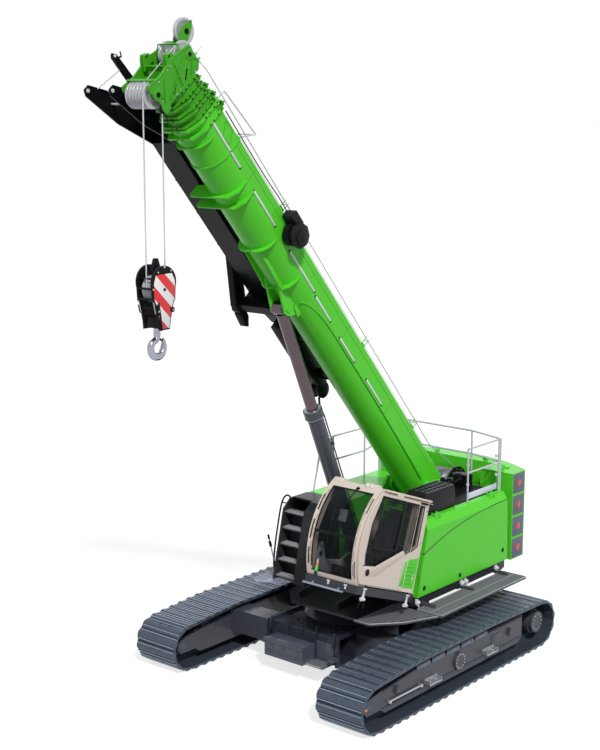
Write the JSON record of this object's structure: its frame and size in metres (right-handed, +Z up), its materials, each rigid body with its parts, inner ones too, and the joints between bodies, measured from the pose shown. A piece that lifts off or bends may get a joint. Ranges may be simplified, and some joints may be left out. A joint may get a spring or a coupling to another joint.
{
  "type": "crawler crane",
  "caption": "Telescopic-boom crawler crane on extending tracks, with a tilting cab, folded side jib, hook block and slab counterweight.",
  "frame": {"origin": "on the ground under the slewing axis, midway between the tracks", "axes": "+X forward along the tracks, where the boom points; +Y to the crane's left; +Z up"},
  "size_m": [8.7326, 4.9, 10.7542],
  "materials": {
    "green_paint": "gloss",
    "dark_paint": "satin",
    "beige_paint": "satin",
    "black_steel": "satin",
    "shoe_steel": "rough",
    "bare_steel": "machined",
    "chrome_rod": "polished",
    "sheave_grey": "matte",
    "glazing": "clear",
    "seat_cloth": "woven",
    "black_plastic": "matte",
    "engine_grey": "rough",
    "rope_steel": "twisted"
  },
  "bodies": {
    "carbody": {"carbody": "dark_paint", "carbody_fittings": "dark_paint", "slew_ring": "bare_steel"},
    "track_left": {"left_track_frame": "dark_paint", "left_track_loop": "shoe_steel", "left_track_rollers": "shoe_steel", "left_track_steps": "bare_steel"},
    "track_right": {"right_track_frame": "dark_paint", "right_track_loop": "shoe_steel", "right_track_rollers": "shoe_steel", "right_track_steps": "bare_steel"},
    "sprocket_left": {"left_sprocket": "dark_paint"},
    "sprocket_right": {"right_sprocket": "dark_paint"},
    "idler_left": {"left_idler": "shoe_steel"},
    "idler_right": {"right_idler": "shoe_steel"},
    "upper": {"upper_frame": "dark_paint", "left_housing": "green_paint", "engine": "engine_grey", "intake_box": "black_steel", "right_housing": "green_paint", "step_tower": "dark_paint", "counterweight": "green_paint", "walkways": "dark_paint", "handrails": "bare_steel"},
    "engine_cover": {"left_cover": "green_paint"},
    "main_winch": {"main_winch_drum": "dark_paint"},
    "second_winch": {"second_winch_drum": "dark_paint"},
    "cab": {"cab_base": "black_steel", "cab_shell": "beige_paint", "cab_louvres": "green_paint", "cab_glass": "glazing", "seat": "seat_cloth", "cab_console": "black_plastic"},
    "cab_door": {"cab_door": "beige_paint", "door_glass": "glazing"},
    "tilt_barrel": {"tilt_barrel": "black_steel"},
    "tilt_rod": {"tilt_rod": "chrome_rod"},
    "boom_base": {"boom_base": "green_paint", "jib": "black_steel", "jib_bracket": "black_steel", "hose_reel": "black_plastic"},
    "boom_section_1": {"boom_section_1": "green_paint"},
    "boom_section_2": {"boom_section_2": "green_paint"},
    "boom_section_3": {"boom_section_3": "green_paint", "boom_head": "green_paint"},
    "lower_sheaves": {"lower_sheaves": "sheave_grey"},
    "upper_sheaves": {"upper_sheaves": "sheave_grey"},
    "runner_sheave": {"runner_sheave": "sheave_grey"},
    "lift_rod": {"lift_rod": "chrome_rod"},
    "lift_barrel": {"lift_barrel": "black_steel"},
    "hoist_rope": {"front_fall": "rope_steel", "rear_fall": "rope_steel", "rope_socket": "bare_steel"},
    "hook_block": {"hook_block": "black_steel"},
    "block_sheaves": {"block_sheaves": "sheave_grey"},
    "hook": {"hook": "bare_steel"}
  },
  "joints": [
    {"name": "left_track_retract", "type": "slide", "parent": "carbody", "child": "track_left", "axis": [0, -1, 0], "range_m": [0, 0.65]},
    {"name": "right_track_retract", "type": "slide", "parent": "carbody", "child": "track_right", "axis": [0, 1, 0], "range_m": [0, 0.65]},
    {"name": "left_sprocket_spin", "type": "hinge", "parent": "track_left", "child": "sprocket_left", "pos_m": [-2.44, 2, 0.43], "axis": [0, 1, 0], "continuous": true},
    {"name": "right_sprocket_spin", "type": "hinge", "parent": "track_right", "child": "sprocket_right", "pos_m": [-2.44, -2, 0.43], "axis": [0, 1, 0], "continuous": true},
    {"name": "left_idler_spin", "type": "hinge", "parent": "track_left", "child": "idler_left", "pos_m": [2.44, 2, 0.41], "axis": [0, 1, 0], "continuous": true},
    {"name": "right_idler_spin", "type": "hinge", "parent": "track_right", "child": "idler_right", "pos_m": [2.44, -2, 0.41], "axis": [0, 1, 0], "continuous": true},
    {"name": "slew", "type": "hinge", "parent": "carbody", "child": "upper", "pos_m": [0, 0, 1.06], "axis": [0, 0, 1], "continuous": true},
    {"name": "engine_cover_lift", "type": "hinge", "parent": "upper", "child": "engine_cover", "pos_m": [-1.4, 1.385, 2.665], "axis": [1, 0, 0], "range_deg": [0, 85]},
    {"name": "main_winch_spin", "type": "hinge", "parent": "upper", "child": "main_winch", "pos_m": [-2.72, 0, 2.59], "axis": [0, 1, 0], "continuous": true},
    {"name": "second_winch_spin", "type": "hinge", "parent": "upper", "child": "second_winch", "pos_m": [-2.95, 0, 1.85], "axis": [0, 1, 0], "continuous": true},
    {"name": "cab_tilt", "type": "hinge", "parent": "upper", "child": "cab", "pos_m": [0.1, 0.75, 1.32], "axis": [0, 1, 0], "range_deg": [0, 20]},
    {"name": "tilt_barrel_swing", "type": "hinge", "parent": "upper", "child": "tilt_barrel", "pos_m": [0.6, 0.73, 1.23], "axis": [0, 1, 0], "range_deg": [0, 36.5]},
    {"name": "tilt_rod_slide", "type": "slide", "parent": "tilt_barrel", "child": "tilt_rod", "axis": [0.656, 0, 0.7548], "range_m": [-0.14, 0]},
    {"name": "cab_door_slide", "type": "slide", "parent": "cab", "child": "cab_door", "axis": [-0.9397, 0, -0.342], "range_m": [0, 0.6]},
    {"name": "boom_luff", "type": "hinge", "parent": "upper", "child": "boom_base", "pos_m": [-1.78, 0, 2.67], "axis": [0, -1, 0], "range_deg": [-40, 31]},
    {"name": "boom_telescope_1", "type": "slide", "parent": "boom_base", "child": "boom_section_1", "axis": [0.6561, 0, 0.7547], "range_m": [0, 8]},
    {"name": "boom_telescope_2", "type": "slide", "parent": "boom_section_1", "child": "boom_section_2", "axis": [0.6561, 0, 0.7547], "range_m": [0, 8]},
    {"name": "boom_telescope_3", "type": "slide", "parent": "boom_section_2", "child": "boom_section_3", "axis": [0.6561, 0, 0.7547], "range_m": [0, 8]},
    {"name": "lower_sheaves_spin", "type": "hinge", "parent": "boom_section_3", "child": "lower_sheaves", "pos_m": [4.74147, 0, 9.66147], "axis": [0, 1, 0], "continuous": true},
    {"name": "upper_sheaves_spin", "type": "hinge", "parent": "boom_section_3", "child": "upper_sheaves", "pos_m": [4.10981, 0, 10.23044], "axis": [0, 1, 0], "continuous": true},
    {"name": "runner_sheave_spin", "type": "hinge", "parent": "boom_section_3", "child": "runner_sheave", "pos_m": [3.94506, 0, 10.55916], "axis": [0, 1, 0], "continuous": true},
    {"name": "lift_rod_swing", "type": "hinge", "parent": "boom_base", "child": "lift_rod", "pos_m": [1.83742, 0, 6.33599], "axis": [0, -1, 0], "range_deg": [-0.88, 0.73]},
    {"name": "lift_barrel_slide", "type": "slide", "parent": "lift_rod", "child": "lift_barrel", "axis": [-0.406, 0, -0.9139], "range_m": [-1.2337, 0.9573]},
    {"name": "rope_hang", "type": "hinge", "parent": "boom_section_3", "child": "hoist_rope", "pos_m": [4.74147, 0.165, 9.66147], "axis": [0, -1, 0], "range_deg": [-31.2, 40.2]},
    {"name": "hook_lowering", "type": "slide", "parent": "hoist_rope", "child": "hook_block", "axis": [0, 0, -1], "range_m": [-1.5, 5.8], "deforming": ["front_fall", "rear_fall"]},
    {"name": "block_sheaves_spin", "type": "hinge", "parent": "hook_block", "child": "block_sheaves", "pos_m": [4.74147, 0.165, 6.95], "axis": [0, 1, 0], "continuous": true},
    {"name": "hook_swivel", "type": "hinge", "parent": "hook_block", "child": "hook", "pos_m": [4.74147, 0.165, 6.3], "axis": [0, 0, 1], "continuous": true}
  ],
  "couplings": [
    {"joint": "tilt_barrel_swing", "follows": "cab_tilt", "ratio": 1.8164},
    {"joint": "tilt_rod_slide", "follows": "cab_tilt", "m_per_rad": -0.3353},
    {"joint": "lift_rod_swing", "follows": "boom_luff", "ratio": 0.017},
    {"joint": "lift_barrel_slide", "follows": "boom_luff", "m_per_rad": 1.76},
    {"joint": "rope_hang", "follows": "boom_luff", "ratio": -1},
    {"joint": "boom_telescope_2", "follows": "boom_telescope_1", "ratio": 1},
    {"joint": "boom_telescope_3", "follows": "boom_telescope_1", "ratio": 1}
  ]
}
